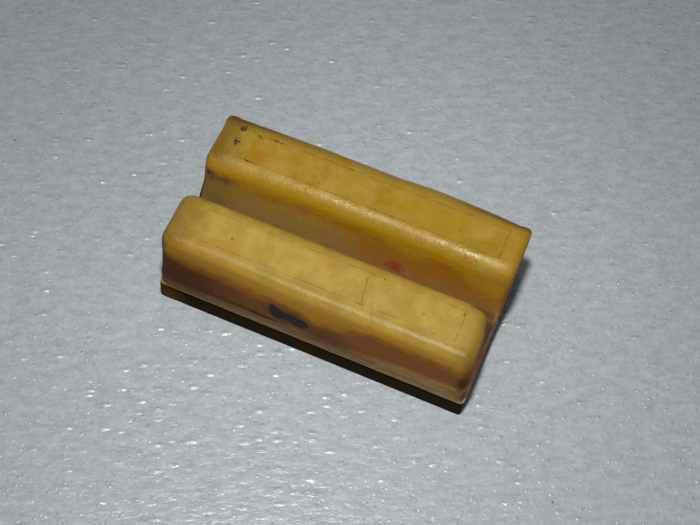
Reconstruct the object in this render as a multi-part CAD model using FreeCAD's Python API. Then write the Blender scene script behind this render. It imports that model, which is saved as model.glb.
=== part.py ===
import FreeCAD, Part
import math
import os

# Rosin cake for bowed instruments: dark rosin cast into a moulded plastic holder.
# The holder is a thin-walled moulding, open below. Its back has two grip ribs along its
# length with a tapering finger channel between them. The rosin fills it, ribs included, and
# stands out below its rim as a slab with the playing face underneath.
# Frame: millimetres, +Z up, X along the ribs, Y across them. The object rests on the playing
# face, and the origin is on the ground under the middle of that face.

# Holder, outside
RIM_LENGTH = 60.0
RIM_WIDTH = 32.6
HOLDER_HEIGHT = 14.2      # rim's lower face to the rib tops
BAND_HEIGHT = 3.0         # upright band round the rim
BAND_STEP = 0.12          # the band stands out past the wall above it
SIDE_LEAN = 1.05          # long walls lean in this far between band and rib tops
END_LEAN = 0.1            # end walls lean in this far
EDGE_ROUND = 1.8          # rounded top edges of the ribs
CORNER_EXTRA = 0.1        # upright corners above the band are this much rounder than that
RIM_CORNER = 1.5          # upright corners of the band and of the slab
RIM_ROUND = 0.3           # rounded lower outer edge of the rim

# Finger channel between the ribs
CHANNEL_WIDTH = 8.0       # between the ribs, at their tops
CHANNEL_FLOOR = 1.4       # between the channel walls, at the floor
CHANNEL_DEPTH = 9.3       # below the rib tops
CHANNEL_FILLET = 0.8      # round where each wall meets the floor

# Plain sunk panel on each rib top
PANEL_END_MARGIN = 3.3    # from the end of the rib top
PANEL_SIDE_MARGIN = 2.5   # from the sides of the rib top
PANEL_SINK = 0.1

# Inside of the holder, and the rosin
WALL = 1.8                # wall of the holder, all round
INNER_CORNER = 0.8        # upright corners inside the holder
STAND_OUT = 4.8           # rosin below the rim
CAST_SHRINKAGE = 0.05     # gap that the cooled rosin leaves inside the holder
SLAB_INSET = 0.1          # the slab lies this far inside the rim's outline
SLAB_ROUND = 0.4          # worn edge round the playing face

# Levels and sizes that follow from these
RIM_Z = STAND_OUT
BAND_TOP_Z = RIM_Z + BAND_HEIGHT
TOP_Z = RIM_Z + HOLDER_HEIGHT
FLOOR_Z = TOP_Z - CHANNEL_DEPTH
TOP_CORNER = EDGE_ROUND + CORNER_EXTRA
TOP_LENGTH = RIM_LENGTH - 2 * (BAND_STEP + END_LEAN)
TOP_WIDTH = RIM_WIDTH - 2 * (BAND_STEP + SIDE_LEAN)
CHANNEL_SLOPE = (CHANNEL_WIDTH - CHANNEL_FLOOR) / 2 / CHANNEL_DEPTH
OVERSHOOT = 1.0           # how far a cutting block runs past the faces that it opens
TINY = 1e-4


def block(length, width, top_length, top_width, z_low, z_high):
    """Upright block centred on Z, whose top may be smaller or larger than its foot."""
    wedge = Part.makeWedge(
        -length / 2, z_low, -width / 2, -top_width / 2, -top_length / 2,
        length / 2, z_high, width / 2, top_width / 2, top_length / 2)
    wedge.rotate(FreeCAD.Vector(0, 0, 0), FreeCAD.Vector(1, 0, 0), 90)
    return wedge


def round_corners(solid, radius):
    """Round the upright corners of a block."""
    uprights = []
    for edge in solid.Edges:
        if edge.BoundBox.ZLength > TINY:
            uprights.append(edge)
    return solid.makeFillet(radius, uprights)


def level_edges(solid, z):
    """Edges that lie level at height z."""
    found = []
    for edge in solid.Edges:
        box = edge.BoundBox
        if abs(box.ZMin - z) < TINY and abs(box.ZMax - z) < TINY:
            found.append(edge)
    return found


def channel_prism(skin):
    """The channel as a prism along X, grown by a skin of this thickness below and beside it."""
    growth = skin * math.sqrt(1 + CHANNEL_SLOPE ** 2)
    z_low = FLOOR_Z - skin
    z_high = TOP_Z + OVERSHOOT
    half_low = CHANNEL_FLOOR / 2 + growth - CHANNEL_SLOPE * skin
    half_high = half_low + CHANNEL_SLOPE * (z_high - z_low)
    length = RIM_LENGTH + 2 * OVERSHOOT
    return block(length, 2 * half_low, length, 2 * half_high, z_low, z_high)


def channel_cutter():
    """The open channel itself, with its floor edges rounded."""
    prism = channel_prism(0.0)
    sides = []
    for edge in level_edges(prism, FLOOR_Z):
        if edge.BoundBox.XLength > RIM_LENGTH:
            sides.append(edge)
    return prism.makeFillet(CHANNEL_FILLET, sides)


def mouth_edges(solid):
    """Edges where the channel breaks out through the two end walls."""
    found = []
    for edge in solid.Edges:
        box = edge.BoundBox
        at_end = min(abs(box.XMin), abs(box.XMax)) > TOP_LENGTH / 2 - TINY
        in_channel = max(abs(box.YMin), abs(box.YMax)) < CHANNEL_WIDTH / 2 + TINY
        if at_end and in_channel and box.ZMin > FLOOR_Z - TINY:
            found.append(edge)
    return found


def ribbed_back():
    """Everything above the rim band: leaning walls, two ribs and the channel."""
    foot_length = RIM_LENGTH - 2 * BAND_STEP
    foot_width = RIM_WIDTH - 2 * BAND_STEP
    back = block(foot_length, foot_width, TOP_LENGTH, TOP_WIDTH, BAND_TOP_Z, TOP_Z)
    back = round_corners(back, TOP_CORNER)
    back = back.cut(channel_cutter())
    back = back.makeFillet(TOP_CORNER, mouth_edges(back))
    return back.makeFillet(EDGE_ROUND, level_edges(back, TOP_Z))


def rim_band():
    """Upright band round the rim, rounded at its lower outer edge."""
    band = block(RIM_LENGTH, RIM_WIDTH, RIM_LENGTH, RIM_WIDTH, RIM_Z, BAND_TOP_Z)
    band = round_corners(band, RIM_CORNER)
    return band.makeFillet(RIM_ROUND, level_edges(band, RIM_Z))


def inside(gap):
    """The space inside the holder, from the rim up into both ribs, less a gap all round."""
    skin = WALL + gap
    z_high = TOP_Z - skin
    spans = []
    for z in (RIM_Z, z_high):
        # the inner faces lean as the outer walls do, and run straight on down to the rim
        share = (z - BAND_TOP_Z) / (TOP_Z - BAND_TOP_Z)
        spans.append(RIM_LENGTH - 2 * (BAND_STEP + skin + share * END_LEAN))
        spans.append(RIM_WIDTH - 2 * (BAND_STEP + skin + share * SIDE_LEAN))
    space = round_corners(block(*spans, RIM_Z, z_high), INNER_CORNER)
    return space.cut(channel_prism(skin))


def panel(side):
    """Shallow pocket in the top of the rib on one side (+1 or -1) of the channel."""
    inner = CHANNEL_WIDTH / 2 + PANEL_SIDE_MARGIN
    outer = TOP_WIDTH / 2 - PANEL_SIDE_MARGIN
    length = TOP_LENGTH - 2 * PANEL_END_MARGIN
    width = outer - inner
    pocket = block(length, width, length, width, TOP_Z - PANEL_SINK, TOP_Z + OVERSHOOT)
    pocket.translate(FreeCAD.Vector(0, side * (inner + outer) / 2, 0))
    return pocket


def holder():
    """Moulded holder: rim band, walls, two hollow ribs and the channel between them."""
    body = ribbed_back().fuse(rim_band()).removeSplitter()
    body = body.cut(inside(0.0))
    for side in (-1, 1):
        body = body.cut(panel(side))
    return body


def rosin_cake():
    """Cast rosin: the slab below the rim and, in one piece with it, the fill of the holder."""
    length = RIM_LENGTH - 2 * SLAB_INSET
    width = RIM_WIDTH - 2 * SLAB_INSET
    slab = block(length, width, length, width, 0.0, RIM_Z)
    slab = round_corners(slab, RIM_CORNER)
    slab = slab.makeFillet(SLAB_ROUND, level_edges(slab, 0.0))
    return slab.fuse(inside(CAST_SHRINKAGE)).removeSplitter()


NODES = {
    "holder": holder,
    "rosin_cake": rosin_cake,
}

os.makedirs("parts", exist_ok=True)
for name, make in NODES.items():
    shape = make()
    shape.exportStep(os.path.join("parts", name + ".step"))
    print(name, len(shape.Solids), shape.isValid(), round(shape.Volume, 2), shape.BoundBox)
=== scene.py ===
import math

import bmesh
import bpy
from bpy.props import FloatProperty, FloatVectorProperty, IntProperty, PointerProperty
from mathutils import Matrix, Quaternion, Vector


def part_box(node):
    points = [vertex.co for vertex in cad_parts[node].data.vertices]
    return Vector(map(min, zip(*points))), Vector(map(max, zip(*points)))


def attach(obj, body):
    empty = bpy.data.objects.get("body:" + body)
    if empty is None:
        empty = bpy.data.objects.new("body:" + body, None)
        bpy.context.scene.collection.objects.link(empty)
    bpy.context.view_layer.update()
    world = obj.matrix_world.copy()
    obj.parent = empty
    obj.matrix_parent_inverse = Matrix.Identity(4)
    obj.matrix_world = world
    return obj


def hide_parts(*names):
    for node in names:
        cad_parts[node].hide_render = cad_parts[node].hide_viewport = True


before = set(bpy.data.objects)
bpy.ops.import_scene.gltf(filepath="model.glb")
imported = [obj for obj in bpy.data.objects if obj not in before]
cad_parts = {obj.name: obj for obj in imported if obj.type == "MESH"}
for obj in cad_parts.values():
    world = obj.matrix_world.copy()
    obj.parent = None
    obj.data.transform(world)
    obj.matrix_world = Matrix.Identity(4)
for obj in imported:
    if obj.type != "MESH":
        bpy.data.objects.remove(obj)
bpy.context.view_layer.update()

bl_info = {
    "name": "Rosin Cake in a Moulded Holder",
    "version": (1, 0, 0),
    "blender": (4, 5, 0),
    "location": "View3D > Sidebar > Rosin",
    "description": "Builds a used rosin cake in its ribbed plastic holder, on a painted table",
    "category": "Add Mesh",
}

HOLDER_LOW, HOLDER_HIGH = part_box("holder")
CAKE_LOW, CAKE_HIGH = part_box("rosin_cake")
MM = 0.001
TINY = 1e-6                 # two heights nearer than this are one
MERGE = 1e-6                # points nearer than this are one
OVERSHOOT = 1 * MM          # how far a cutting block runs past the faces that it opens
UPRIGHT = 0.5 * MM          # an edge that climbs more than this is an upright one
SMOOTH_BELOW = math.radians(40.0)   # a bend sharper than this shows as an edge
CUT_OFFSET = 0.013          # share of a step that keeps the grid's cuts off older points
COUNT_FROM = (-0.31, -0.47, -0.83)  # askew, so that no two parts are equally far from it
BEYOND = 100                # in millimetres, farther off than any part of the piece
SENSOR_WIDTH = 36.0
NEAREST = 0.01              # nearest thing that the camera sees

# Edges of the panels on the rib tops, in millimetres: west, east, south, north
PANELS = ((-26.4, 26.4, 6.35, 12.6), (-26.3, 25.0, -12.3, -5.9))

# Corners of the slab: its sides along x and y, and the rounding in millimetres
CAKE_CORNERS = ((-1, -1, 0.6), (1, -1, 0.5), (1, 1, 1.0), (-1, 1, 1.2))

# Colours of single marks on the plastic, of painted glow and highlight on it, and of grit on the
# table
FAR_LEFT_BROWN = (0.25, 0.13, 0.006)
WARM = (0.42, 0.24, 0.003)
DULL = (0.33, 0.17, 0.010)
NEAR_RIGHT_BROWN = (0.17, 0.055, 0.004)
MOUTH_GLOW = (0.36, 0.17, 0.002)
RIM_HIGHLIGHT = (0.56, 0.43, 0.34)
INK_EDGE = (0.010, 0.017, 0.030)
RED = (0.28, 0.028, 0.016)
ORANGE = (0.35, 0.165, 0.0)
SMUDGE = (0.09, 0.038, 0.015)
CRUMB = (0.026, 0.009, 0.0005)
CRACK = (0.22, 0.10, 0.008)
SPECK = (0.07, 0.03, 0.008)
GRIT = (0.05, 0.045, 0.04)


# ------------------------ settings

def length(name, description, default):
    """A length in metres that the sidebar shows."""
    return FloatProperty(name=name, description=description, default=default,
                         min=0.0, precision=5, subtype="DISTANCE", unit="LENGTH")


def colour(name, description, default):
    """A colour that the sidebar shows."""
    return FloatVectorProperty(name=name, description=description, default=default,
                               size=3, min=0.0, max=1.0, subtype="COLOR")


def number(name, description, default, **more):
    """A number that the sidebar shows."""
    return FloatProperty(name=name, description=description, default=default, min=0.0, **more)


def angle(name, description, degrees):
    """An angle that the sidebar shows in degrees."""
    return FloatProperty(name=name, description=description, default=math.radians(degrees),
                         subtype="ANGLE", unit="ROTATION")


def position(name, description, default):
    """A point that the sidebar shows."""
    return FloatVectorProperty(name=name, description=description, default=default,
                               size=3, subtype="TRANSLATION", unit="LENGTH")


class HolderSettings(bpy.types.PropertyGroup):
    """Sizes and colours of the moulded holder."""

    band_height: length("Band height", "Upright band round the rim", 3.0 * MM)
    band_step: length("Band step", "How far the band stands out past the walls", 0.12 * MM)
    side_lean: length("Side lean", "How far the long walls lean in", 1.05 * MM)
    end_lean: length("End lean", "How far the end walls lean in", 0.1 * MM)
    edge_round: length("Edge round", "Rounding of the ribs' near and right edges", 1.8 * MM)
    grip_round: length("Grip round", "Rounding of the ribs' edges beside the channel", 2.25 * MM)
    worn_round: length("Worn round", "Rounding of the corners and of the far and left edges",
                       2.25 * MM)
    rim_round: length("Rim round", "Rounding of the rim's lower edge", 0.2 * MM)
    wall: length("Wall", "Thickness of the moulding", 1.8 * MM)
    channel_width: length("Channel width", "Gap between the rib tops", 8.0 * MM)
    channel_floor: length("Channel floor", "Gap between the walls at the floor", 0.97 * MM)
    channel_depth: length("Channel depth", "Depth below the rib tops", 9.9 * MM)
    mouth_height: length("Mouth height", "Its mouths are more worn up to here", 3.2 * MM)
    panel_depth: length("Panel depth", "How far the rib panels are sunk", 0.03 * MM)
    yellow: colour("Yellow", "Aged plastic where it is thick and clean", (0.345, 0.205, 0.007))
    straw: colour("Straw", "Paler, scuffed plastic", (0.48, 0.33, 0.066))
    amber: colour("Amber", "Deep colour under the outer edges", (0.56, 0.265, 0.001))
    honey: colour("Honey", "Deep colour under the edges beside the channel", (0.39, 0.205, 0.001))
    brown: colour("Brown", "Rosin showing through the thin walls", (0.25, 0.085, 0.012))
    tan: colour("Tan", "Worn plastic low on the walls", (0.29, 0.165, 0.055))
    plum: colour("Plum", "Dark rosin showing through near one end", (0.088, 0.019, 0.003))
    rust: colour("Rust", "Reddish brown line between yellow and brown", (0.26, 0.075, 0.004))
    haze: colour("Haze", "Greyish film in the channel", (0.31, 0.18, 0.025))
    umber: colour("Umber", "Brown film in the channel", (0.32, 0.128, 0.002))
    mist: colour("Mist", "Greyer film low in the channel", (0.27, 0.17, 0.055))
    pale_and_rim_highlight: colour("Pale rim", "Bruised edge of the rim", (0.41, 0.26, 0.125))
    dirt: colour("Dirt", "Old dirt and rosin crumbs", (0.030, 0.012, 0.003))
    ink: colour("Ink", "Blue-black ink stain", (0.003, 0.004, 0.008))


class CakeSettings(bpy.types.PropertyGroup):
    """Sizes and colours of the cast rosin."""

    gap: length("Gap", "Shrinkage gap inside the holder", 0.05 * MM)
    face_round: length("Face round", "Wear round the playing face", 0.45 * MM)
    dark: colour("Dark", "Rosin in bulk", (0.020, 0.0105, 0.0015))
    glow: colour("Glow", "Rosin where light passes through a corner", (0.11, 0.048, 0.006))
    dust: colour("Dust", "White rosin powder on the playing face", (0.40, 0.34, 0.25))


class StageSettings(bpy.types.PropertyGroup):
    """Table, light and camera."""

    table_size: length("Table size", "Side of the square table top", 1.6)
    table_colour: colour("Table colour", "Grey-white paint", (0.385, 0.415, 0.428))
    lamp_power: number("Lamp power", "Power of the soft lamp", 0.66, unit="POWER")
    lamp_place: position("Lamp place", "Where the lamp hangs", (0.008, -0.055, 0.278))
    lamp_size: length("Lamp size", "Width of the soft lamp", 0.024)
    fill: number("Fill", "Strength of the even light all round", 0.12)
    mirrored_fill: number("Mirrored fill", "Strength of that light where it is mirrored", 0.34)
    fill_colour: colour("Fill colour", "Colour of the even light", (0.94, 0.98, 1.0))
    azimuth: angle("Azimuth", "Camera's turn from the long side", 16.728)
    elevation: angle("Elevation", "Camera's height above the table", 60.506)
    roll: angle("Roll", "Camera's turn about its own line of sight", 6.872)
    aim: position("Aim", "The point that the camera looks at", (0.00002, 0.00374, 0.00202))
    distance: length("Distance", "From the camera to that point", 0.2685)
    lens: number("Lens", "Focal length in millimetres", 73.2)
    detail: IntProperty(name="Detail", description="Cuts for each centimetre of a piece",
                        default=10, min=1, max=20)


# ------------------------ modelling

def clear_selection():
    """Leave edit mode and select nothing."""
    if bpy.context.mode != "OBJECT":
        bpy.ops.object.mode_set(mode="OBJECT")
    bpy.ops.object.select_all(action="DESELECT")


def block(name, low, high):
    """A new piece that starts as a box between two corners, with its place in its mesh."""
    clear_selection()
    low = Vector(low)
    high = Vector(high)
    bpy.ops.mesh.primitive_cube_add(size=1.0, location=(low + high) / 2, scale=high - low)
    piece = bpy.context.active_object
    piece.name = name
    piece.data.name = name
    bpy.ops.object.transform_apply(location=True, rotation=True, scale=True)
    return piece


def activate(piece):
    """Leave edit mode, and select this piece alone."""
    clear_selection()
    bpy.context.view_layer.objects.active = piece
    piece.select_set(True)


def edit(piece, kind):
    """Open a piece for editing its faces, edges or vertices, with nothing selected."""
    activate(piece)
    bpy.ops.object.mode_set(mode="EDIT")
    bpy.ops.mesh.select_mode(type=kind)
    bpy.ops.mesh.select_all(action="DESELECT")


def pick(kind, test):
    """In edit mode, select what passes the test and nothing else."""
    bpy.ops.mesh.select_mode(type=kind)
    bpy.ops.mesh.select_all(action="DESELECT")
    data = bpy.context.edit_object.data
    mesh = bmesh.from_edit_mesh(data)
    items = {"FACE": mesh.faces, "EDGE": mesh.edges, "VERT": mesh.verts}[kind]
    found = [item for item in items if test(item)]
    if not found:
        raise RuntimeError("nothing to select on " + bpy.context.edit_object.name)
    for item in found:
        item.select_set(True)
    bmesh.update_edit_mesh(data)


def middle(item):
    """Middle of a face or an edge."""
    return sum((vert.co for vert in item.verts), Vector()) / len(item.verts)


def pick_top(z):
    """Select the largest level face at height z that looks up."""
    mesh = bmesh.from_edit_mesh(bpy.context.edit_object.data)
    level = [face for face in mesh.faces
             if face.normal.z > 0.99 and abs(middle(face).z - z) < TINY]
    largest = max(level, key=lambda face: face.calc_area())
    pick("FACE", lambda face: face == largest)


def raise_top(piece, z, rise, size):
    """Pull the level face at height z up, and bring it to a new size (x, y) there."""
    edit(piece, "FACE")
    pick_top(z)
    if rise:
        bpy.ops.mesh.extrude_region_move(TRANSFORM_OT_translate={"value": (0, 0, rise)})
    picked = [vert.co for vert in bmesh.from_edit_mesh(piece.data).verts if vert.select]
    span_x = max(co.x for co in picked) - min(co.x for co in picked)
    span_y = max(co.y for co in picked) - min(co.y for co in picked)
    bpy.ops.transform.resize(value=(size[0] / span_x, size[1] / span_y, 1.0),
                             center_override=(0.0, 0.0, z + rise))


def modify(piece, kind, **values):
    """Add a modifier to the piece and make it part of its mesh."""
    activate(piece)
    modifier = piece.modifiers.new(kind.lower(), kind)
    for name, value in values.items():
        setattr(modifier, name, value)
    bpy.ops.object.modifier_apply(modifier=modifier.name)


def combine(piece, tool, operation):
    """Cut the tool out of the piece, or join it on, and remove the tool."""
    modify(piece, "BOOLEAN", operation=operation, solver="EXACT", object=tool)
    mesh = tool.data
    bpy.data.objects.remove(tool)
    bpy.data.meshes.remove(mesh)


def weigh(test, radius, widest):
    """In edit mode, mark the edges that pass the test for rounding to this radius."""
    pick("EDGE", test)
    # each call adds to a mark, so an older one is taken off first
    bpy.ops.transform.edge_bevelweight(value=-1.0)
    bpy.ops.transform.edge_bevelweight(value=radius / widest)


def round_edges(piece, widest, segments):
    """Round the marked edges."""
    modify(piece, "BEVEL", limit_method="WEIGHT", offset_type="OFFSET", width=widest,
           segments=segments, use_clamp_overlap=False, miter_outer="MITER_SHARP")


def slice_across(axis, level):
    """In edit mode, cut the piece's faces through at this level along an axis."""
    normal = Vector([float(index == axis) for index in range(3)])
    bpy.ops.mesh.select_all(action="SELECT")
    bpy.ops.mesh.bisect(plane_co=normal * level, plane_no=normal, threshold=TINY)


def dice(piece, step):
    """Cut the whole piece into a fine grid along X, Y and Z, so that it can be shaped."""
    edit(piece, "FACE")
    corners = [vert.co.copy() for vert in bmesh.from_edit_mesh(piece.data).verts]
    for axis in range(3):
        low = min(corner[axis] for corner in corners)
        high = max(corner[axis] for corner in corners)
        count = round((high - low) / step)
        for index in range(1, count):
            slice_across(axis, low + (high - low) * (index + CUT_OFFSET) / count)


def tidy(piece):
    """Merge doubled points, turn every face outwards, and number all parts by their place."""
    edit(piece, "VERT")
    bpy.ops.mesh.select_all(action="SELECT")
    bpy.ops.mesh.remove_doubles(threshold=MERGE)
    bpy.ops.mesh.select_all(action="SELECT")
    bpy.ops.mesh.normals_make_consistent(inside=False)
    # a boolean numbers them in any order, which the next rounding would show
    bpy.context.scene.cursor.location = COUNT_FROM
    bpy.ops.mesh.sort_elements(type="CURSOR_DISTANCE", elements={"VERT", "EDGE", "FACE"})
    clear_selection()


def ripple(piece, size, strength):
    """Shift the surface in and out along its normals by a cloudy pattern."""
    texture = bpy.data.textures.new(piece.name + "_ripple", "CLOUDS")
    texture.noise_scale = size
    texture.noise_depth = 2
    modify(piece, "DISPLACE", texture=texture, texture_coords="LOCAL", strength=strength,
           mid_level=0.5)
    bpy.data.textures.remove(texture)


def pull(piece, x, y, z, shift, reach):
    """Softly drag the points in these ranges of x, y and z, and what is near; in millimetres."""
    edit(piece, "VERT")
    pick("VERT", lambda vert: all(low * MM < part < high * MM
                                  for part, (low, high) in zip(vert.co, (x, y, z))))
    bpy.ops.transform.translate(value=[part * MM for part in shift],
                                use_proportional_edit=True, proportional_size=reach * MM,
                                proportional_edit_falloff="SMOOTH")
    clear_selection()


def roughen(piece, step, size, strength):
    """Cut the piece finely, soften its edges and make its faces uneven."""
    dice(piece, step / bpy.context.scene.rosin_stage.detail)
    tidy(piece)
    modify(piece, "SUBSURF", levels=1, render_levels=1)
    ripple(piece, size, strength)


def clamp_to(piece, low, high):
    """Keep every point of the piece inside a box."""
    for vert in piece.data.vertices:
        for axis in range(3):
            vert.co[axis] = min(max(vert.co[axis], low[axis]), high[axis])


def finish(piece, material, node):
    """Shade the piece, give it its material, and let it stand for its CAD node."""
    activate(piece)
    bpy.ops.object.shade_smooth_by_angle(angle=SMOOTH_BELOW)
    piece.data.materials.clear()
    piece.data.materials.append(material)
    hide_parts(node)
    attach(piece, "root")
    clear_selection()


def channel_cutter(settings, skin):
    """The finger channel as a block along X, grown by a skin below and beside it."""
    slope = (settings.channel_width - settings.channel_floor) / 2 / settings.channel_depth
    z_floor = HOLDER_HIGH.z - settings.channel_depth - skin
    z_top = HOLDER_HIGH.z + OVERSHOOT
    half = settings.channel_floor / 2 + skin * math.sqrt(1 + slope ** 2) - slope * skin
    reach = HOLDER_HIGH.x + OVERSHOOT
    cutter = block("channel_cutter", (-reach, -half, z_floor), (reach, half, z_top))
    top = 2 * (half + slope * (z_top - z_floor))
    raise_top(cutter, z_top, 0.0, (2 * reach, top))
    clear_selection()
    return cutter


def inner_block(name, settings, gap):
    """The space inside the holder, from below the rim up into both ribs, less a gap all round."""
    skin = settings.wall + gap
    z_low = HOLDER_LOW.z - OVERSHOOT
    z_band = HOLDER_LOW.z + settings.band_height
    z_high = HOLDER_HIGH.z - skin
    spans = []
    for z in (z_low, z_high):
        share = (z - z_band) / (HOLDER_HIGH.z - z_band)
        spans.append(HOLDER_HIGH.x - settings.band_step - skin - share * settings.end_lean)
        spans.append(HOLDER_HIGH.y - settings.band_step - skin - share * settings.side_lean)
    space = block(name, (-spans[0], -spans[1], z_low), (spans[0], spans[1], z_high))
    raise_top(space, z_high, 0.0, (2 * spans[2], 2 * spans[3]))
    combine(space, channel_cutter(settings, skin), "DIFFERENCE")
    return space


# ------------------------ shading

def add_node(tree, kind, settings=None, inputs=None):
    """Any shader node: its settings are set first, then the values or links of its sockets."""
    made = tree.nodes.new("ShaderNode" + kind)
    for name, value in (settings or {}).items():
        setattr(made, name, value)
    for name, value in (inputs or {}).items():
        slot = made.inputs[name]
        if isinstance(value, Value):
            value = value.socket
        if isinstance(value, bpy.types.NodeSocket):
            tree.links.new(value, slot)
        else:
            slot.default_value = value
    return made


class Value:
    """A number socket that takes part in Python sums."""

    def __init__(self, socket):
        self.socket = socket

    def math(self, operation, first, second):
        made = add_node(self.socket.id_data, "Math", {"operation": operation},
                        {0: first, 1: second})
        return Value(made.outputs[0])

    def __add__(self, other):
        return self.math("ADD", self, other)

    def __radd__(self, other):
        return self.math("ADD", other, self)

    def __sub__(self, other):
        return self.math("SUBTRACT", self, other)

    def __rsub__(self, other):
        return self.math("SUBTRACT", other, self)

    def __mul__(self, other):
        return self.math("MULTIPLY", self, other)

    def __rmul__(self, other):
        return self.math("MULTIPLY", other, self)

    def __abs__(self):
        return self.math("ABSOLUTE", self, 0.0)


def ramp(value, low, high):
    """0 below low and 1 above high, smooth between; it falls where high is below low."""
    made = add_node(value.socket.id_data, "MapRange", {"interpolation_type": "SMOOTHSTEP"},
                    {"Value": value, "From Min": min(low, high), "From Max": max(low, high)})
    found = Value(made.outputs["Result"])
    return found if high > low else 1 - found


def most(first, *others):
    """The largest of several values."""
    for other in others:
        first = first.math("MAXIMUM", first, other)
    return first


class Paint:
    """The nodes of one material, and its base colour as built up so far."""

    def __init__(self, name):
        self.base = None
        self.material = bpy.data.materials.new(name)
        self.material.use_nodes = True
        self.tree = self.material.node_tree
        self.tree.nodes.clear()
        metres = self.node("TexCoord").outputs["Object"]
        self.place = self.vector("MULTIPLY", metres, (1 / MM, 1 / MM, 1 / MM))
        split = self.node("SeparateXYZ", {}, {"Vector": self.place})
        self.x, self.y, self.z = (Value(part) for part in split.outputs)

    def node(self, kind, settings=None, inputs=None):
        """Any node of this material."""
        return add_node(self.tree, kind, settings, inputs)

    def vector(self, operation, first, second):
        """Vector maths on two places or colours."""
        return self.node("VectorMath", {"operation": operation}, {0: first, 1: second}).outputs[0]

    def noise(self, scale, seed, detail=3.0, rough=0.6, place=None):
        """Cloudy noise from 0 to 1, whose middle is a half; scale is waves for each millimetre."""
        made = self.node("TexNoise", {"noise_dimensions": "4D"},
                         {"Vector": place or self.place, "W": seed, "Scale": scale,
                          "Detail": detail, "Roughness": rough})
        return Value(made.outputs["Fac"])

    def stretched(self, factors):
        """The place, stretched by a factor along each axis."""
        return self.vector("MULTIPLY", self.place, factors)

    def wobbled(self, scale, amount, seed):
        """The place, shifted about by noise, so that a pattern's outline turns uneven."""
        made = self.node("TexNoise", {"noise_dimensions": "4D"},
                         {"Vector": self.place, "W": seed, "Scale": scale, "Detail": 2.0})
        centred = self.vector("SUBTRACT", made.outputs["Color"], (0.5, 0.5, 0.5))
        return self.vector("ADD", self.place,
                           self.vector("MULTIPLY", centred, (amount, amount, amount)))

    def spot(self, centre, radii, soft, place=None):
        """A round patch: 1 inside, fading over the share soft of its radii to 0."""
        off = self.vector("SUBTRACT", place or self.place, centre)
        far = self.node("VectorMath", {"operation": "LENGTH"},
                        {0: self.vector("DIVIDE", off, radii)})
        return ramp(Value(far.outputs["Value"]), 1 + soft, 1 - soft)

    def spots(self, place, rows):
        """The strongest of several round patches: centre, radii, softness and strength."""
        return most(*(self.spot(centre, radii, soft, place) * strength
                      for centre, radii, soft, strength in rows))

    def cells(self, scale, place=None):
        """Scattered points: the distance to the nearest, and a random share of its own."""
        made = self.node("TexVoronoi", {}, {"Vector": place or self.place, "Scale": scale})
        kind = self.node("SeparateXYZ", {}, {"Vector": made.outputs["Color"]})
        return Value(made.outputs["Distance"]), Value(kind.outputs["X"])

    def mix(self, under, over, amount):
        """One colour over another."""
        parts = [part if isinstance(part, bpy.types.NodeSocket) else (*part, 1.0)
                 for part in (under, over)]
        made = self.node("Mix", {"data_type": "RGBA", "clamp_factor": True},
                         {0: amount, 6: parts[0], 7: parts[1]})
        return made.outputs[2]

    def tint(self, under, amount):
        """A colour made lighter or darker by a value round 1."""
        grey = self.node("CombineXYZ", {}, {"X": amount, "Y": amount, "Z": amount})
        return self.vector("MULTIPLY", under, grey.outputs["Vector"])

    def lay(self, colour, amount):
        """Lay a colour over the base colour."""
        self.base = self.mix(self.base, colour, amount)

    def shade(self, amount):
        """Darken the base colour by a share."""
        self.base = self.tint(self.base, 1 - amount)

    def curve(self, value, points):
        """A smooth function of a value through (value, result) points."""
        low = points[0][0]
        high = points[-1][0]
        bottom = min(result for _, result in points)
        top = max(result for _, result in points)
        share = self.node("MapRange", {}, {"Value": value, "From Min": low, "From Max": high})
        made = self.node("ValToRGB", {}, {"Fac": share.outputs["Result"]})
        stops = made.color_ramp
        stops.interpolation = "B_SPLINE"
        while len(stops.elements) < len(points):
            stops.elements.new(0.5)
        for stop, (where, result) in zip(stops.elements, points):
            stop.position = (where - low) / (high - low)
            level = (result - bottom) / (top - bottom)
            stop.color = (level, level, level, 1.0)
        level = self.node("RGBToBW", {}, {"Color": made.outputs["Color"]})
        return Value(level.outputs["Val"]) * (top - bottom) + bottom

    def bump(self, height, distance, under=None):
        """Relief from a height in millimetres."""
        inputs = {"Height": height, "Distance": distance, "Strength": 1.0}
        if under is not None:
            inputs["Normal"] = under
        return self.node("Bump", {}, inputs).outputs["Normal"]

    def surface(self, inputs):
        """The finished shader."""
        shader = self.node("BsdfPrincipled", {"subsurface_method": "RANDOM_WALK"}, inputs)
        self.node("OutputMaterial", {}, {"Surface": shader.outputs["BSDF"]})
        return self.material


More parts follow.
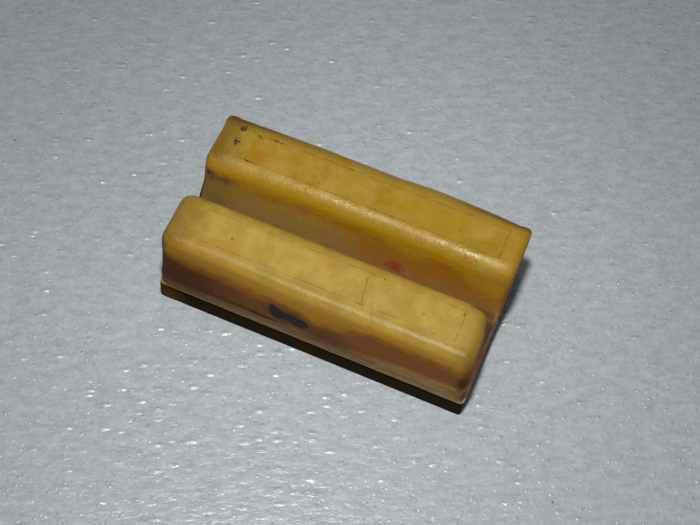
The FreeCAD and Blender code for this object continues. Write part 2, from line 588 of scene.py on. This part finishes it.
class AgedPlastic(Paint):
    """Aged, waxy, see-through plastic with rosin, dirt and stains showing in and under it."""

    def __init__(self, settings):
        super().__init__("aged_yellow_plastic")
        self.settings = settings
        x, y, z = self.x, self.y, self.z

        # patterns, from coarse to fine
        self.broad = self.noise(0.09, 1.0, 3.0, 0.5)
        self.patch = self.noise(0.28, 2.0)
        self.cloud = self.noise(0.8, 3.0)
        self.grain = self.noise(3.2, 4.0, 3.0, 0.65)
        self.streaks = self.noise(1.5, 25.0, 3.0, 0.65, self.stretched((0.07, 0.07, 1.3)))
        self.scuffs = self.noise(0.9, 27.0, 3.0, 0.7, self.stretched((0.55, 1.0, 1.0)))
        self.wobble = self.wobbled(0.9, 1.6, 5.0)
        self.fine = self.wobbled(2.5, 0.7, 6.0)

        # regions: the worn end of the near rib lies further in than the end wall
        worn_back = ramp(abs(y + 8.0), 6.0, 3.5) * ramp(z, 9.0, 13.0) * 0.9
        self.end = x + worn_back
        self.outside = most(ramp(abs(y), 9.0, 12.0), ramp(abs(self.end), 29.1, 29.6))
        self.near = ramp(y, 0.0, -2.0)
        self.top = ramp(z, 18.2, 18.8)

        # fine cracks across the near rib
        crack = ramp(abs(x - 7.2 + (y + 9.0) * 0.12 + (self.cloud - 0.5) * 1.5), 0.16, 0.03)
        crack = crack * ramp(abs(y + 9.0), 3.4, 2.4)
        split = ramp(abs(x - 9.6 + (y + 12.0) * 0.35 + (self.cloud - 0.5) * 1.2), 0.22, 0.04)
        split = split * ramp(abs(y + 12.2), 2.8, 1.8)
        self.cracks = most(crack, split * 0.6) * self.top

    def clean_plastic(self):
        """Mustard, paler on the near rib and in scuffed patches, darker to the ends, with painted
        shade along the far edge and on the near crown.
        """
        settings, near, patch = self.settings, self.near, self.patch
        x, y = self.x, self.y
        scuffed = ramp(patch, 0.32, 0.68) * 0.5 + near * 0.5
        self.base = self.mix(settings.yellow, settings.straw, scuffed)
        west = ramp(x + (patch - 0.5) * 5, -22.5, -28.5)
        east = ramp(x + (patch - 0.5) * 5, 24.0, 30.0)
        north = ramp(y + (patch - 0.5) * 3, 11.5, 14.5)
        border = most(north * (0.3 + 0.4 * ramp(abs(x), 12.0, 26.0)), west * 0.5, east * 0.55)
        self.lay(settings.honey, border)
        # a darker orange-brown at the far left corner
        self.lay(FAR_LEFT_BROWN, west * north * 0.7)
        warm = self.spot((12.0, 9.3, 19.0), (7.0, 3.5, 3.0), 0.7, self.wobbled(0.3, 5.0, 8.0))
        self.lay(WARM, warm * 0.7)
        self.shade(0.17 - 0.09 * self.cloud - 0.19 * patch)
        self.shade((0.46 - 0.12 * near) * west)
        self.shade(0.27 * east * near)
        self.shade(0.08 * warm)
        # painted shade on the near rib's outer crown, which tones down the base under its highlight
        self.shade(0.12 * ramp(y, -12.4, -13.2) * ramp(y, -15.0, -14.2))
        self.shade(0.3 * ramp(y, -11.5, -14.5) * most(west, east))
        # painted shade along the far edge, which rounds away from the lamp, with more of it to the
        # left
        self.shade(north * (0.2 + 0.22 * ramp(x, 4.0, -26.0)))
        self.lay(settings.honey, ramp(y, -7.5, -5.2) * near * 0.22)
        self.lay(DULL, ramp(x, 26.3, 29.3) * near * 0.5)

    def rosin_level(self):
        """Height at which the yellow gives way to the rosin behind it."""
        near_wall = self.curve(self.x, [(-30, 15.9), (-23, 14.6), (-15, 14.5), (-8, 14.4),
                                        (-2, 13.6), (3, 13.2), (9, 15.3), (15, 16.1),
                                        (22, 15.4), (30, 14.8)])
        channel = self.curve(self.x, [(-30, 16.6), (-20, 15.9), (-12, 16.0), (-3, 16.8),
                                      (4, 16.4), (10, 15.0), (16, 16.2), (20, 16.3),
                                      (24, 14.5), (30, 12.2)])
        level = channel + self.outside * (near_wall - channel)
        return (level + (self.broad - 0.5) * 1.6 + (self.cloud - 0.5) * 1.3
                + (self.patch - 0.5) * 1.2 * self.outside)

    def wall_tone(self):
        """Rosin behind the outer walls: brown, plum to the left, worn paler low down."""
        settings, patch = self.settings, self.patch
        x, z = self.x, self.z
        tone = self.mix(settings.brown, settings.plum, ramp(x + (patch - 0.5) * 14, -8.0, -24.5))
        worn = self.mix(settings.tan, settings.pale_and_rim_highlight, ramp(z + (self.cloud - 0.5) * 1.8, 7.2, 5.6))
        worn = self.tint(worn, 0.9 + 0.32 * ramp(x, 9.0, 17.0) * ramp(z, 6.0, 7.0))
        low = ramp(z + (patch - 0.5) * 1.4 - ramp(x, 6.0, 18.0) * 1.8, 8.6, 7.2)
        tone = self.mix(tone, worn, low * (0.9 - 0.4 * ramp(x, -8.0, -24.0)))
        return self.tint(tone, 1 - 0.22 * ramp(z, 12.6, 11.6) * ramp(x, 9.0, 3.0))

    def channel_tone(self):
        """Rosin behind the channel's walls: greyish to the left, brown to the right."""
        settings = self.settings
        brown = ramp(self.x + (self.patch - 0.5) * 16, -3.0, 5.0)
        tone = self.mix(settings.haze, settings.umber, brown)
        tone = self.mix(tone, settings.mist, ramp(self.z, 14.0, 9.5) * 0.6)
        return self.tint(tone, 1 - 0.3 * ramp(self.x, -20.0, -29.0))

    def add_rosin(self):
        """Amber under the edges, partly a painted glow, then the rosin behind the thin walls,
        darker on the channel's floor, and a rusty line between.
        """
        settings, outside = self.settings, self.outside
        x, z = self.x, self.z
        under = self.rosin_level() - z
        # the amber under the edges is the plastic's own deeper colour, brightened into a painted
        # glow of light shining through the rounded edges
        amber = ramp(under, -3.1, -1.5) * ramp(z, 18.9, 18.3)
        drop = z - 0.6 * ramp(x, -8.0, -18.0)
        amber = most(amber, ramp(drop, 18.8, 17.0) * outside * 0.85)
        deep = self.mix(settings.honey, settings.amber, outside)
        deep = self.tint(deep, 1 - 0.26 * ramp(x, -10.0, -26.0) * outside)
        self.lay(deep, amber * 0.9 * (1 - self.near * (1 - outside)))

        rosin = self.mix(self.channel_tone(), self.wall_tone(), outside)
        # the rosin is darker on the channel's narrow floor
        rosin = self.tint(rosin, (0.78 + 0.28 * self.cloud + 0.16 * self.patch)
                          * (1 - 0.45 * ramp(z, 9.6, 9.1) * (1 - outside)))
        self.lay(rosin, ramp(under, -0.6, 2.2))
        line = ramp(under, -0.8, 0.4) * ramp(under, 2.2, 0.6)
        self.lay(settings.rust, line * ramp(self.patch, 0.3, 0.62) * 0.6)

    def add_edge_shade_and_scratch(self):
        """Painted shade along the far edge and below the outer crown, a rusty scratch and a darker
        brown near right corner.
        """
        x, y, z = self.x, self.y, self.z
        # painted shade along the far edge, where it rounds away from the lamp, stronger towards
        # both ends
        self.shade(0.55 * ramp(abs(x), 9.0, 27.0) * ramp(y, 13.1, 14.6))
        # painted shade on the outer walls just below the crown, where they curve away from the
        # lamp, with some grime
        self.shade(0.14 * ramp(z, 16.4, 15.2) * ramp(z, 13.0, 14.0) * self.outside)
        slope = z - 14.5 + (x - 17.2) * 0.5 + (self.cloud - 0.5) * 0.9
        scratch = ramp(abs(slope), 0.4, 0.1)
        scratch = scratch * ramp(abs(x - 20.2), 3.8, 2.4) * ramp(y, -13.0, -14.5)
        self.lay(self.settings.rust, scratch * 0.55)
        # a darker brown on the near rib's right top corner
        bend = ramp(x, 27.4, 28.8) * ramp(y, -13.0, -15.0)
        self.lay(NEAR_RIGHT_BROWN, bend * 0.45)

    def add_right_end(self):
        """A bruised, pinkish end wall, and amber light and shade in the channel's mouth."""
        x, y, z = self.x, self.y, self.z
        right = ramp(self.end, 29.45, 29.8) * ramp(z, 18.0, 15.5)
        right = right * most(ramp(abs(y), 1.5, 4.5), ramp(z, 9.0, 8.0))
        bruised = self.mix(self.settings.brown, self.settings.pale_and_rim_highlight, ramp(self.patch, 0.2, 0.8))
        self.lay(bruised, right * (0.55 + 0.15 * self.cloud))
        self.lay(MOUTH_GLOW, self.spot((28.2, 1.8, 15.5), (4.0, 3.2, 5.5), 0.8) * 0.5)
        shade = ramp(x, 28.2, 29.0) * ramp(abs(y + 2.6), 2.4, 1.6)
        self.shade(0.4 * shade * ramp(z, 17.0, 14.0))

    def add_wall_wear_rim_highlight_and_shade(self):
        """Streaks along the low walls, a scuffed rim with a painted highlight, painted shade on the
        band's near right corner, and dirt in the ledge over the band.
        """
        settings = self.settings
        x, y, z = self.x, self.y, self.z
        worn = ramp(z, 10.2, 8.0)
        scuffed = 1.1 * worn + 0.5 * self.outside * ramp(z, 14.5, 12.0)
        self.shade((0.5 - self.streaks) * 1.3 * worn + (0.5 - self.scuffs) * scuffed)
        dark = ramp(self.streaks, 0.42, 0.3) * ramp(z, 9.4, 8.2) * self.outside
        self.lay(settings.dirt, dark * 0.45)
        # the rim's lower edge: scuffed plastic, brightened further as a painted highlight
        self.lay(settings.pale_and_rim_highlight, ramp(z, 5.6, 4.95) * 0.6)
        ledge = ramp(abs(z - 8.0 + (self.cloud - 0.5) * 0.4), 0.42, 0.08)
        self.shade(0.3 * ledge * ramp(x, -2.0, 12.0))
        # painted shade on the band's near right corner
        corner = ramp(x, 28.9, 29.4) * ramp(y, -14.6, -15.4) * ramp(z, 8.4, 8.0)
        self.shade(0.45 * corner)
        # painted highlight along the lower edge of the rim at the right end
        self.lay(RIM_HIGHLIGHT, ramp(x, 29.6, 29.8) * ramp(z, 5.9, 5.3) * 0.7)
        dirty = ramp(self.noise(0.22, 9.0, 2.0, 0.5) + ramp(x, 2.0, -8.0) * 0.15, 0.42, 0.62)
        self.lay(settings.dirt, ledge * ramp(x, 12.0, -2.0) * dirty * 0.8)

    def add_panel_outlines(self):
        """Dirt caught in the outlines of the sunk panels."""
        dirty = ramp(self.noise(0.55, 12.0, 3.0, 0.7), 0.35, 0.75)
        for west, east, south, north in PANELS:
            off_x = abs(self.x - (west + east) / 2) - (east - west) / 2
            off_y = abs(self.y - (south + north) / 2) - (north - south) / 2
            border = abs(most(off_x, off_y) + (self.grain - 0.5) * 0.12)
            outline = ramp(border, 0.22, 0.04) * self.top
            self.lay(self.settings.dirt, outline * dirty * 0.6)

    def add_ink(self):
        """The ink blot on the near wall, in a dirty halo."""
        halo = self.spots(self.wobble, (
            ((-4.6, -16.2, 11.2), (4.4, 2.5, 2.5), 0.5, 0.55),
            ((1.9, -16.2, 9.4), (5.6, 2.5, 1.8), 0.8, 0.4),
            ((-11.0, -16.2, 8.3), (5.0, 2.5, 0.35), 0.6, 0.75)))
        self.lay(self.settings.dirt, halo)
        ink = self.spots(self.fine, (
            ((-7.3, -16.2, 11.6), (0.7, 2.0, 1.4), 0.5, 1.0),
            ((-6.2, -16.2, 10.7), (1.8, 2.0, 1.5), 0.4, 1.0),
            ((-4.2, -16.2, 10.8), (2.3, 2.0, 1.1), 0.4, 1.0),
            ((-2.1, -16.2, 10.3), (1.8, 2.0, 1.3), 0.4, 1.0),
            ((-8.6, -16.2, 8.2), (2.8, 2.0, 0.22), 0.8, 0.7)))
        ink = ramp(ink + (self.grain - 0.5) * 1.7 + (self.cloud - 0.5) * 0.7, 0.3, 0.6)
        stain = self.mix(self.settings.ink, INK_EDGE, ramp(self.scuffs, 0.45, 0.7))
        self.lay(stain, ink * 0.96)

    def add_stains(self):
        """Single stains: red in the channel, dark smears at the corners, orange on a rib."""
        cloud, grain = self.cloud, self.grain
        red = self.spot((9.0, 1.3, 11.3), (2.1, 1.4, 1.5), 0.6, self.wobble)
        red = ramp(red + (cloud - 0.5) * 1.6 + (grain - 0.5) * 1.2, 0.3, 1.2)
        self.lay(RED, red * 0.85)
        smear = self.spots(self.wobble, (
            ((28.8, -15.7, 11.4), (1.7, 1.5, 2.6), 0.9, 1.0),
            ((29.5, -15.4, 14.2), (0.7, 0.9, 2.4), 0.7, 0.7),
            ((29.5, -5.0, 15.0), (0.6, 1.2, 2.4), 0.7, 0.7),
            ((-29.4, -13.6, 17.3), (1.5, 2.6, 1.5), 0.8, 0.9)))
        smear = ramp(smear + (cloud - 0.5) * 0.9 + (grain - 0.5) * 0.9, 0.35, 1.0)
        self.lay(self.settings.dirt, smear * 0.8)
        self.lay(ORANGE, self.spot((-21.2, 7.9, 19.0), (1.7, 1.3, 2.0), 0.9, self.wobble))
        smudge = self.spot((-26.6, 2.6, 15.6), (3.2, 1.6, 1.0), 0.7, self.wobble)
        self.lay(SMUDGE, smudge * ramp(cloud, 0.3, 0.6) * 0.7)

    def add_crumbs(self):
        """Crumbs of dirt, mostly in the corners of the panels."""
        crumbs = self.spots(self.fine, (
            ((-25.9, 12.5, 19.0), (0.9, 0.8, 1.0), 0.7, 1.0),
            ((-25.9, 9.3, 19.0), (0.6, 1.0, 1.0), 0.7, 1.0),
            ((-19.5, 12.4, 19.0), (2.2, 0.35, 1.0), 0.8, 0.7),
            ((-22.4, 12.1, 19.0), (0.6, 0.3, 1.0), 0.8, 0.8),
            ((-22.0, 6.3, 19.0), (1.5, 0.22, 1.0), 0.7, 0.8),
            ((-28.6, 2.9, 15.8), (0.45, 0.6, 0.5), 0.6, 1.0),
            ((-17.7, -9.7, 19.0), (0.35, 0.35, 1.0), 0.6, 0.8),
            ((24.8, -6.6, 19.0), (0.5, 0.7, 1.0), 0.8, 0.7),
            ((29.6, -7.0, 17.5), (0.6, 0.9, 1.4), 0.7, 0.8),
            ((29.6, -14.6, 16.5), (0.6, 0.8, 1.6), 0.7, 0.8)))
        corner = self.spot((-29.8, -14.0, 13.0), (1.0, 3.0, 1.8), 0.8, self.wobble)
        crumbs = most(crumbs, corner * 0.9)
        fleck = self.noise(4.4, 61.0, 2.0)
        shown = ramp(crumbs + (fleck - 0.5) * 3.6, 0.72, 0.86)
        self.lay(CRUMB, shown * ramp(crumbs, 0.02, 0.25))

    def add_cracks(self):
        """Brown lines in the fine cracks."""
        self.lay(CRACK, self.cracks * ramp(self.grain, 0.3, 0.6) * 0.6)

    def add_specks(self):
        """Scattered specks: a few dark ones, and many small ones."""
        far, _ = self.cells(0.42)
        few = ramp(far, 0.085, 0.05) * ramp(self.broad, 0.5, 0.62)
        self.lay(self.settings.dirt, few * 0.8)
        far, kind = self.cells(1.3)
        chosen = ramp(kind + (1 - self.top) * 0.12, 0.86, 0.9)
        self.lay(SPECK, ramp(far, 0.16, 0.08) * chosen * 0.7)

    def roughness(self):
        """Polished in places along the rib tops, dull low on the walls."""
        shine = self.curve(self.x, [(-30, 0.0), (-22, 0.0), (-14, 0.15), (-5, 0.8), (4, 0.85),
                                    (10, 0.1), (17, 0.95), (24, 1.0), (29, 0.0), (30, 0.0)])
        polish = shine * (1 - 0.6 * self.near) * ramp(self.noise(0.3, 7.0), 0.25, 0.55)
        dull = ramp(self.z, 18.0, 15.0) * 0.42
        return 0.5 - 0.27 * polish + 0.1 * (self.cloud - 0.5) + dull

    def skin(self):
        """Uneven skin, pitted along the ribs' upper edges, with the cracks cut into it."""
        crown = most(ramp(abs(self.y - 5.2), 2.2, 1.0), ramp(abs(self.y + 14.0), 2.2, 1.0))
        pits = self.noise(3.6, 21.0, 2.0) * (0.25 + 0.75 * crown * most(self.top, 0.4))
        uneven = self.bump(self.noise(1.3, 20.0, 2.0), 0.10 * MM)
        pitted = self.bump(pits, 0.055 * MM, uneven)
        return self.bump(1 - self.cracks, 0.05 * MM, pitted)


def holder_plastic(settings):
    """The holder's material, layer on layer."""
    paint = AgedPlastic(settings)
    paint.clean_plastic()
    paint.add_rosin()
    paint.add_edge_shade_and_scratch()
    paint.add_right_end()
    paint.add_wall_wear_rim_highlight_and_shade()
    paint.add_panel_outlines()
    paint.add_ink()
    paint.add_stains()
    paint.add_crumbs()
    paint.add_cracks()
    paint.add_specks()
    return paint.surface({
        "Base Color": paint.base, "Roughness": paint.roughness(), "Normal": paint.skin(),
        "IOR": 1.49, "Specular IOR Level": 0.42, "Specular Tint": (1.0, 0.92, 0.76, 1.0),
        "Subsurface Weight": 0.3, "Subsurface Radius": (1.0, 0.55, 0.15),
        "Subsurface Scale": 1.8 * MM,
    })


def cake_rosin(settings):
    """Dark rosin: glassy brown in bulk, amber at a thin corner, with dust on the playing face."""
    paint = Paint("dark_rosin")
    cloud = paint.noise(0.6, 31.0)
    grain = paint.noise(3.0, 32.0, 3.0, 0.65)
    paint.base = paint.tint(settings.dark, 0.7 + 0.6 * cloud)
    corner = paint.spot((-30.0, -16.3, 1.2), (4.2, 4.0, 3.4), 0.7, paint.wobbled(0.5, 2.5, 33.0))
    paint.lay(settings.glow, corner * 0.9)
    lines = paint.noise(1.0, 34.0, 3.0, 0.7, paint.stretched((0.06, 2.2, 1.0)))
    face = ramp(paint.z, 0.35, 0.05)
    powder = ramp(lines * 0.6 + grain * 0.4, 0.38, 0.62) * face
    chips = ramp(grain, 0.62, 0.72) * ramp(paint.z, 1.0, 0.3)
    paint.lay(settings.dust, powder * 0.55 + chips * 0.12)
    rough = 0.4 + 0.2 * cloud + powder * 0.3
    waves = paint.bump(cloud, 0.25 * MM)
    normal = paint.bump(grain + lines * face, 0.03 * MM, waves)
    return paint.surface({
        "Base Color": paint.base, "Roughness": rough, "Normal": normal, "IOR": 1.54,
        "Specular IOR Level": 0.012, "Specular Tint": (1.0, 0.62, 0.3, 1.0),
    })


def table_paint(settings):
    """Grey-white paint with an orange-peel skin that catches the lamp in small glints, with a
    painted pool of light round the middle and painted falloff towards the back.
    """
    paint = Paint("orange_peel_paint")
    turned = paint.node("Mapping", {"vector_type": "TEXTURE"}, {
        "Vector": paint.place, "Rotation": (0.0, 0.0, math.radians(25.0)),
        "Scale": (1.9, 0.8, 1.0)}).outputs["Vector"]
    broad = paint.noise(0.02, 41.0, 3.0, 0.5)
    streak = paint.noise(0.5, 42.0, 3.0, 0.6, turned)
    skin = paint.noise(1.5, 43.0, 3.0, 0.65)
    # a painted pool of light round the holder, and painted falloff of light towards the back and
    # the sides
    clean = paint.spot((8.0, 19.0, 0.0), (50.0, 50.0, 50.0), 1.0)
    painted_falloff = ramp(paint.y + abs(paint.x) * 0.3, -45.0, 75.0)
    paint.base = paint.tint(settings.table_colour,
                            (0.34 + 0.08 * broad + 0.66 * streak + 0.62 * skin)
                            * (0.9 + 0.32 * clean) * (1.08 - 0.19 * painted_falloff))
    far, _ = paint.cells(0.085)
    paint.lay(GRIT, ramp(far, 0.022, 0.012) * 0.8)

    # gentle waves, and steep pimples of two sizes that catch the lamp
    domes = []
    shifted = paint.wobbled(0.9, 0.8, 45.0)
    for place, scale, rare, height in ((turned, 0.62, 0.68, 0.23), (shifted, 1.2, 0.62, 0.17)):
        far, kind = paint.cells(scale, place)
        domes.append(ramp(far, 0.5, 0.0) * ramp(kind, rare, 1.0) * height)
    waves = paint.bump(streak, 0.2 * MM)
    peel = paint.bump(domes[0] + domes[1], 1.0 * MM, waves)
    fine = paint.bump(skin, 0.05 * MM, peel)
    return paint.surface({
        "Base Color": paint.base, "Roughness": 0.3, "Normal": fine, "IOR": 1.5,
    })


# ------------------------ the holder's shape

def rough_holder(sizes):
    """The holder as a plain block: an upright band, leaning walls above it, and the channel."""
    low, high = HOLDER_LOW, HOLDER_HIGH
    z_band = low.z + sizes.band_height
    piece = block("holder_shell", low, (high.x, high.y, z_band))
    head = (2 * (high.x - sizes.end_lean), 2 * (high.y - sizes.side_lean))
    raise_top(piece, z_band, high.z - z_band, head)
    combine(piece, channel_cutter(sizes, 0.0), "DIFFERENCE")
    tidy(piece)
    return piece


def round_holder(piece, sizes):
    """Round the upright corners, the rib tops, the channel's mouths and the rim."""
    low, high = HOLDER_LOW, HOLDER_HIGH
    widest = max(sizes.grip_round, sizes.edge_round, sizes.worn_round)
    grip_y = sizes.channel_width / 2
    z_mouth = high.z - sizes.channel_depth + sizes.mouth_height
    edit(piece, "FACE")
    slice_across(2, z_mouth)

    def upright(edge):
        first, second = (vert.co for vert in edge.verts)
        return abs(first.z - second.z) > UPRIGHT

    def level_at(edge, z):
        return all(abs(vert.co.z - z) < TINY for vert in edge.verts)

    def beside_channel(edge):
        return level_at(edge, high.z) and all(abs(abs(vert.co.y) - grip_y) < TINY
                                              for vert in edge.verts)

    def far_or_left(edge):
        return middle(edge).y > high.y * 0.8 or middle(edge).x < low.x / 2

    weigh(upright, sizes.worn_round, widest)
    weigh(lambda edge: upright(edge) and abs(middle(edge).y) < grip_y
          and middle(edge).z > z_mouth, sizes.edge_round, widest)
    weigh(lambda edge: level_at(edge, high.z) and not beside_channel(edge),
          sizes.edge_round, widest)
    weigh(lambda edge: level_at(edge, high.z) and far_or_left(edge), sizes.worn_round, widest)
    weigh(beside_channel, sizes.grip_round, widest)
    weigh(lambda edge: level_at(edge, low.z), sizes.rim_round, widest)
    round_edges(piece, widest, 7)
    tidy(piece)


def sink_panels(piece, depth):
    """Sink a plain panel into each rib top."""
    for west, east, south, north in PANELS:
        cutter = block("panel_cutter", (west * MM, south * MM, HOLDER_HIGH.z - depth),
                       (east * MM, north * MM, HOLDER_HIGH.z + OVERSHOOT))
        combine(piece, cutter, "DIFFERENCE")
    tidy(piece)


def step_walls(piece, sizes):
    """Draw in all that stands above the band, so that the band steps out past it."""
    z_step = HOLDER_LOW.z + sizes.band_height + 1.2 * sizes.band_step
    edit(piece, "FACE")
    slice_across(2, z_step)
    pick("VERT", lambda vert: vert.co.z > z_step - TINY)
    bpy.ops.transform.resize(value=(1 - sizes.band_step / HOLDER_HIGH.x,
                                    1 - sizes.band_step / HOLDER_HIGH.y, 1.0),
                             center_override=(0.0, 0.0, 0.0))


def trim_far_corners(piece, sizes):
    """Keep the far corners behind the planes of the far wall and of the end walls."""
    right, far, top = HOLDER_HIGH
    z_band = HOLDER_LOW.z + sizes.band_height
    for vert in piece.data.vertices:
        x, y, z = vert.co
        if z > z_band + 0.5 * MM and y > far - 5 * MM and abs(x) > right - 5 * MM:
            share = (z - z_band) / (top - z_band)
            wide = right - sizes.band_step - share * sizes.end_lean
            vert.co.x = min(max(x, -wide), wide)
            vert.co.y = min(y, far - sizes.band_step - share * sizes.side_lean)


def wear_holder(piece, sizes):
    """Drag edges and corners out of true, as moulding, warping and use have left them."""
    right, far, top = (part / MM for part in HOLDER_HIGH)
    floor = top - sizes.channel_depth / MM
    walls = (HOLDER_LOW.z + sizes.band_height) / MM + 1.5
    crown = (top - 2, BEYOND)
    far_side = (far - 3, BEYOND)
    mouth = (right - 2, BEYOND)
    end = (right - 1.5, BEYOND)

    # the near rib's right end is rubbed back beside the channel
    pull(piece, mouth, (-5.2, -2), (floor, BEYOND), (-0.65, -0.4, 0), 4)
    # the far top edge bulges out to the right of its middle
    pull(piece, (11, 22), far_side, crown, (0, 0.32, 0.03), 7.5)
    # the far corners are sharper than the others
    for side in (-1, 1):
        pull(piece, sorted((side * (right - 1.1), side * BEYOND)), (far - 2.2, BEYOND),
             (walls, BEYOND), (0.38 * side, 0.36, 0.1), 1.8)
    # the channel's floor dips at its right mouth
    pull(piece, mouth, (-0.8, 0.8), (floor - 0.3, floor + 0.7), (0, -0.15, -0.9), 4)
    trim_far_corners(piece, sizes)
    # the far top edge bulges out along its middle
    pull(piece, (-12, 12), far_side, crown, (0, 0.36, 0), 15)
    # the top of the near rib's right end leans back, and that of the far rib stands out
    pull(piece, end, (-12, -5), (top - 3, BEYOND), (-0.6, 0, 0), 6)
    pull(piece, end, (5, BEYOND), crown, (0.25, 0, 0), 9)
    # the near top edge is worn away at its left
    pull(piece, (-BEYOND, -16), (-BEYOND, 3 - far), crown, (0, 0.4, 0), 12)
    # the left ends of both ribs bulge out
    for side in (-1, 1):
        pull(piece, (-BEYOND, 1 - right), sorted((6 * side, 14 * side)), (top - 3, BEYOND),
             (-0.25, 0, 0), 5)


# ------------------------ the stage

def lay_table(sizes):
    """The painted table top, whose upper face is the ground."""
    clear_selection()
    bpy.ops.mesh.primitive_grid_add(x_subdivisions=4, y_subdivisions=4,
                                    size=sizes.table_size, location=(0, 0, 0))
    table = bpy.context.active_object
    table.name = "table_top"
    table.data.materials.append(table_paint(sizes))


def place_camera(sizes):
    """A camera at a given distance from its aim, along its line of sight."""
    level = math.cos(sizes.elevation)
    line = Vector((math.sin(sizes.azimuth) * level, -math.cos(sizes.azimuth) * level,
                   math.sin(sizes.elevation)))
    turn = line.to_track_quat("Z", "Y") @ Quaternion((0, 0, 1), sizes.roll)
    clear_selection()
    bpy.ops.object.camera_add(location=Vector(sizes.aim) + line * sizes.distance)
    camera = bpy.context.active_object
    camera.name = "camera"
    camera.rotation_euler = turn.to_euler()
    camera.data.lens = sizes.lens
    camera.data.sensor_width = SENSOR_WIDTH
    camera.data.clip_start = NEAREST
    bpy.context.scene.camera = camera


def hang_lamp(sizes):
    """A round soft lamp that shines at the origin."""
    place = Vector(sizes.lamp_place)
    clear_selection()
    bpy.ops.object.light_add(type="AREA", location=place)
    lamp = bpy.context.active_object
    lamp.name = "soft_lamp"
    lamp.rotation_euler = place.to_track_quat("Z", "Y").to_euler()
    lamp.data.shape = "DISK"
    lamp.data.size = sizes.lamp_size
    lamp.data.energy = sizes.lamp_power
    clear_selection()


def light_all_round(sizes):
    """An even light from the world, stronger where it is seen or mirrored."""
    world = bpy.data.worlds.new("even_light")
    world.use_nodes = True
    bpy.context.scene.world = world
    tree = world.node_tree
    tree.nodes.clear()
    path = add_node(tree, "LightPath").outputs
    seen = Value(path["Is Camera Ray"])
    seen = most(seen, Value(path["Is Glossy Ray"]), Value(path["Is Transmission Ray"]))
    strength = add_node(tree, "MapRange", {}, {"Value": seen, "To Min": sizes.fill,
                                               "To Max": sizes.mirrored_fill})
    back = add_node(tree, "Background", {}, {"Color": (*sizes.fill_colour, 1.0),
                                             "Strength": strength.outputs["Result"]})
    add_node(tree, "OutputWorld", {}, {"Surface": back.outputs["Background"]})


# ------------------------ operators

class ROSIN_OT_holder(bpy.types.Operator):
    """Build the moulded holder: rim band, leaning walls, two rounded ribs and the channel"""

    bl_idname = "rosin.holder"
    bl_label = "Holder"

    def execute(self, context):
        sizes = context.scene.rosin_holder
        piece = rough_holder(sizes)
        round_holder(piece, sizes)
        sink_panels(piece, sizes.panel_depth)
        step_walls(piece, sizes)
        roughen(piece, 10 * MM, 6 * MM, 0.16 * MM)
        wear_holder(piece, sizes)
        clamp_to(piece, HOLDER_LOW, HOLDER_HIGH)
        combine(piece, inner_block("cavity", sizes, 0.0), "DIFFERENCE")
        tidy(piece)
        finish(piece, holder_plastic(sizes), "holder")
        return {"FINISHED"}


class ROSIN_OT_cake(bpy.types.Operator):
    """Build the cast rosin: the worn slab below the rim and the fill inside the holder"""

    bl_idname = "rosin.cake"
    bl_label = "Rosin"

    def execute(self, context):
        sizes = context.scene.rosin_cake
        holder = context.scene.rosin_holder
        low = CAKE_LOW
        high = Vector((CAKE_HIGH.x, CAKE_HIGH.y, HOLDER_LOW.z))
        piece = block("rosin_block", low, high)
        widest = max(radius for _, _, radius in CAKE_CORNERS) * MM
        edit(piece, "EDGE")
        for side_x, side_y, radius in CAKE_CORNERS:
            weigh(lambda edge: middle(edge).x * side_x > high.x - TINY
                  and middle(edge).y * side_y > high.y - TINY, radius * MM, widest)
        weigh(lambda edge: abs(middle(edge).z - low.z) < TINY, sizes.face_round, widest)
        round_edges(piece, widest, 5)
        tidy(piece)
        roughen(piece, 12 * MM, 3 * MM, 0.1 * MM)
        clamp_to(piece, low, high)
        combine(piece, inner_block("fill", holder, sizes.gap), "UNION")
        tidy(piece)
        finish(piece, cake_rosin(sizes), "rosin_cake")
        return {"FINISHED"}


class ROSIN_OT_stage(bpy.types.Operator):
    """Build the table, the soft lamp, the even fill light and the camera"""

    bl_idname = "rosin.stage"
    bl_label = "Table, light and camera"

    def execute(self, context):
        sizes = context.scene.rosin_stage
        lay_table(sizes)
        place_camera(sizes)
        hang_lamp(sizes)
        light_all_round(sizes)
        context.scene.view_settings.view_transform = "Standard"
        return {"FINISHED"}


class ROSIN_PT_panel(bpy.types.Panel):
    """Sidebar panel with a button for each piece"""

    bl_idname = "ROSIN_PT_panel"
    bl_label = "Rosin cake"
    bl_space_type = "VIEW_3D"
    bl_region_type = "UI"
    bl_category = "Rosin"

    def draw(self, context):
        for operator in OPERATORS:
            self.layout.operator(operator.bl_idname)
        for group in ("rosin_holder", "rosin_cake", "rosin_stage"):
            box = self.layout.box()
            settings = getattr(context.scene, group)
            for name in settings.bl_rna.properties.keys():
                if name not in ("rna_type", "name"):
                    box.prop(settings, name)


SETTINGS = {
    "rosin_holder": HolderSettings,
    "rosin_cake": CakeSettings,
    "rosin_stage": StageSettings,
}
OPERATORS = (ROSIN_OT_holder, ROSIN_OT_cake, ROSIN_OT_stage)


def register():
    for name, group in SETTINGS.items():
        bpy.utils.register_class(group)
        setattr(bpy.types.Scene, name, PointerProperty(type=group))
    for operator in OPERATORS:
        bpy.utils.register_class(operator)
    bpy.utils.register_class(ROSIN_PT_panel)


def unregister():
    bpy.utils.unregister_class(ROSIN_PT_panel)
    for operator in reversed(OPERATORS):
        bpy.utils.unregister_class(operator)
    for name, group in SETTINGS.items():
        delattr(bpy.types.Scene, name)
        bpy.utils.unregister_class(group)


def main():
    register()
    bpy.ops.rosin.stage()
    bpy.ops.rosin.holder()
    bpy.ops.rosin.cake()


if __name__ == "__main__":
    main()
